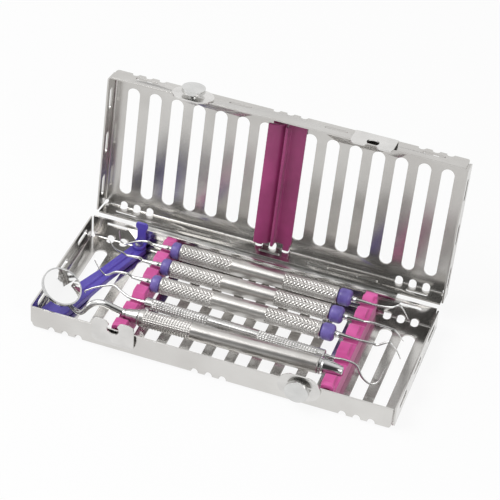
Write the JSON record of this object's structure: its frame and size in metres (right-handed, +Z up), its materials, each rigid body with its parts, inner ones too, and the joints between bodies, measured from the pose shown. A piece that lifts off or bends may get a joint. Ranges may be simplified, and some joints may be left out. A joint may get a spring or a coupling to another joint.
{
  "type": "dental instrument cassette",
  "caption": "Perforated steel cassette with a hinged lid, quarter-turn latches, silicone rails, a swinging accessory arm and hand instruments held ready for sterilising",
  "frame": {"origin": "centre of the tray's underside, on the table", "axes": "+X along the case from left to right as seen from the front, +Y to the back where the lid is hinged, +Z up"},
  "size_m": [0.203, 0.1229, 0.1019],
  "materials": {
    "steel_satin": "satin, electropolished stainless sheet",
    "steel_hinge": "satin stainless leaf",
    "steel_pin": "turned stainless steel",
    "steel_latch": "bright satin stainless plate",
    "knob_polished": "polished turned cap",
    "silicone_magenta": "matte silicone",
    "silicone_plum": "matte silicone",
    "arm_violet": "smooth heat-resistant plastic",
    "band_violet": "anodised or moulded identification ring",
    "instrument_handle": "satin stainless, knurled ends",
    "instrument_knurled": "knurled stainless",
    "instrument_polished": "polished stainless",
    "instrument_tip": "polished stainless shank and working end",
    "mirror_glass": "front-surface mirror"
  },
  "bodies": {
    "tray": {"base_tray": "steel_satin", "left_rail": "silicone_magenta", "right_rail": "silicone_magenta", "base_hinge_leaf": "steel_hinge", "hinge_pin": "steel_pin", "base_latch_plate": "steel_latch", "base_keeper_plate": "steel_latch", "arm_bracket": "arm_violet", "arm_pivot_pin": "steel_pin"},
    "lid": {"lid_cover": "steel_satin", "lid_hinge_leaf": "steel_hinge", "lid_strip": "silicone_plum", "lid_latch_plate": "steel_latch", "lid_keeper_plate": "steel_latch"},
    "base_latch": {"base_latch_knob": "knob_polished", "base_latch_washer": "steel_pin"},
    "lid_latch": {"lid_latch_knob": "knob_polished", "lid_latch_washer": "steel_pin"},
    "arm": {"accessory_arm": "arm_violet"},
    "explorer": {"explorer_handle": "instrument_knurled", "explorer_left_tip": "instrument_tip", "explorer_right_tip": "instrument_tip"},
    "mouth_mirror": {"mirror_handle": "instrument_handle", "mirror_collar": "instrument_knurled", "mirror_end_cone": "instrument_polished", "mirror_stem": "instrument_tip", "mirror_cup": "instrument_polished", "mirror_glass": "mirror_glass"},
    "scaler_1": {"scaler_1_handle": "instrument_handle", "scaler_1_left_band": "band_violet", "scaler_1_right_band": "band_violet", "scaler_1_left_tip": "instrument_tip", "scaler_1_right_tip": "instrument_tip"},
    "scaler_2": {"scaler_2_handle": "instrument_handle", "scaler_2_left_band": "band_violet", "scaler_2_right_band": "band_violet", "scaler_2_left_tip": "instrument_tip", "scaler_2_right_tip": "instrument_tip"},
    "scaler_3": {"scaler_3_handle": "instrument_handle", "scaler_3_left_band": "band_violet", "scaler_3_right_band": "band_violet", "scaler_3_left_tip": "instrument_tip", "scaler_3_right_tip": "instrument_tip"}
  },
  "joints": [
    {"name": "lid_hinge", "type": "hinge", "parent": "tray", "child": "lid", "pos_m": [0, 0.04475, 0.0099], "axis": [-1, 0, 0], "range_deg": [-98.5, 0]},
    {"name": "base_latch_turn", "type": "hinge", "parent": "tray", "child": "base_latch", "pos_m": [0.0495, -0.04275, 0.0119], "axis": [0, -1, 0], "range_deg": [0, 90]},
    {"name": "lid_latch_turn", "type": "hinge", "parent": "lid", "child": "lid_latch", "pos_m": [-0.053, 0.06441, 0.09543], "axis": [0, 0.1478, 0.989], "range_deg": [0, 90]},
    {"name": "arm_swing", "type": "hinge", "parent": "tray", "child": "arm", "pos_m": [-0.0705, 0.037, 0.003], "axis": [0, 0, 1], "range_deg": [0, 20]},
    {"name": "scaler_1_lift", "type": "slide", "parent": "tray", "child": "scaler_1", "axis": [0, 0, 1], "range_m": [0, 0.045]},
    {"name": "scaler_2_lift", "type": "slide", "parent": "tray", "child": "scaler_2", "axis": [0, 0, 1], "range_m": [0, 0.045]},
    {"name": "scaler_3_lift", "type": "slide", "parent": "tray", "child": "scaler_3", "axis": [0, 0, 1], "range_m": [0, 0.045]},
    {"name": "explorer_lift", "type": "slide", "parent": "tray", "child": "explorer", "axis": [0, 0, 1], "range_m": [0, 0.045]},
    {"name": "mouth_mirror_lift", "type": "slide", "parent": "tray", "child": "mouth_mirror", "axis": [0, 0, 1], "range_m": [0, 0.045]}
  ]
}
